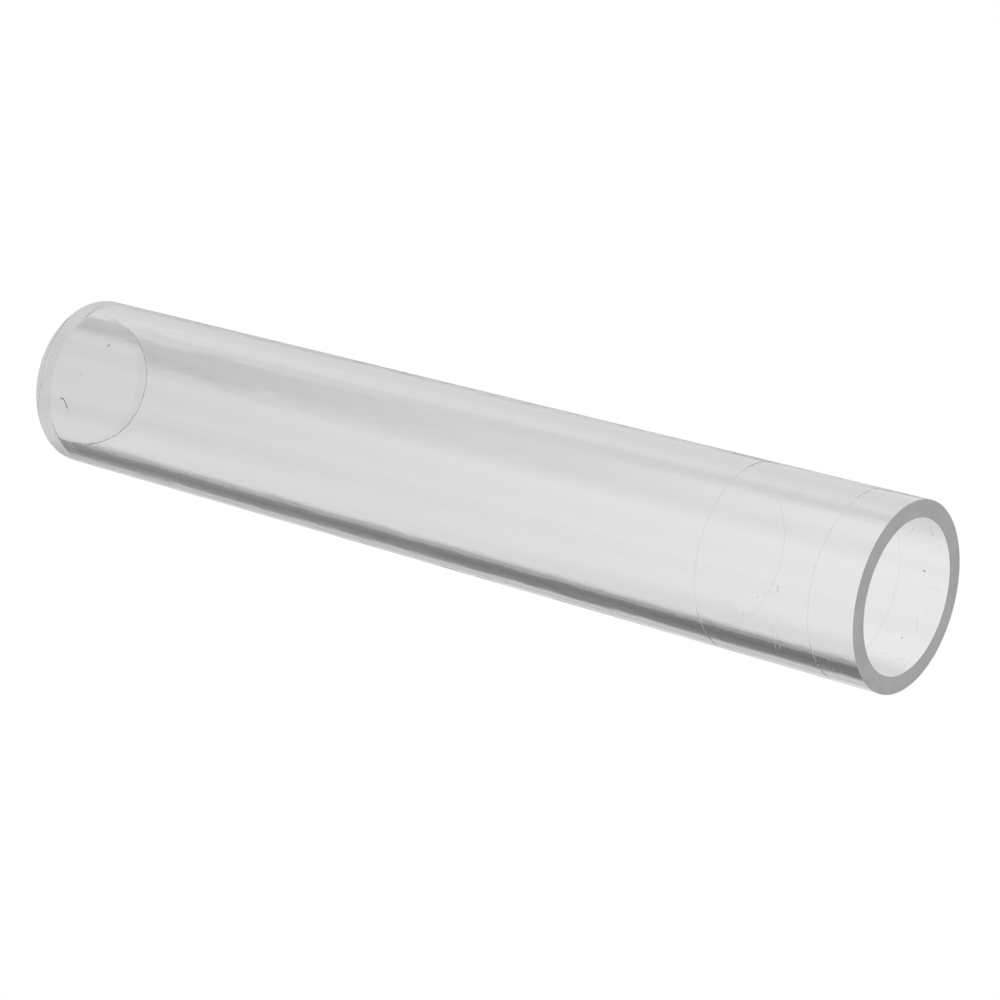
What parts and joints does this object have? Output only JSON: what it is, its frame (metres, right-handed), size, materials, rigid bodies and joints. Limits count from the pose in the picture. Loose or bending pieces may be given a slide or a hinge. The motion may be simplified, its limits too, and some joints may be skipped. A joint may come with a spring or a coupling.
{
  "type": "rain gauge measuring tube",
  "caption": "Clear straight measuring tube of a manual rain gauge, open at the sawn mouth, closed by a cemented base disc, with two fine rings scored in the bore.",
  "frame": {"origin": "centre of the closed end's bottom face, on which the tube stands", "axes": "+Z along the tube's axis, from the closed end to the open mouth"},
  "size_m": [0.032, 0.032, 0.185],
  "materials": {
    "clear_tube": "polished",
    "clear_disc": "polished",
    "cement": "satin"
  },
  "bodies": {
    "root": {"measuring_tube": "clear_tube", "base_disc": "clear_disc", "cement_seam": "cement"}
  },
  "joints": []
}
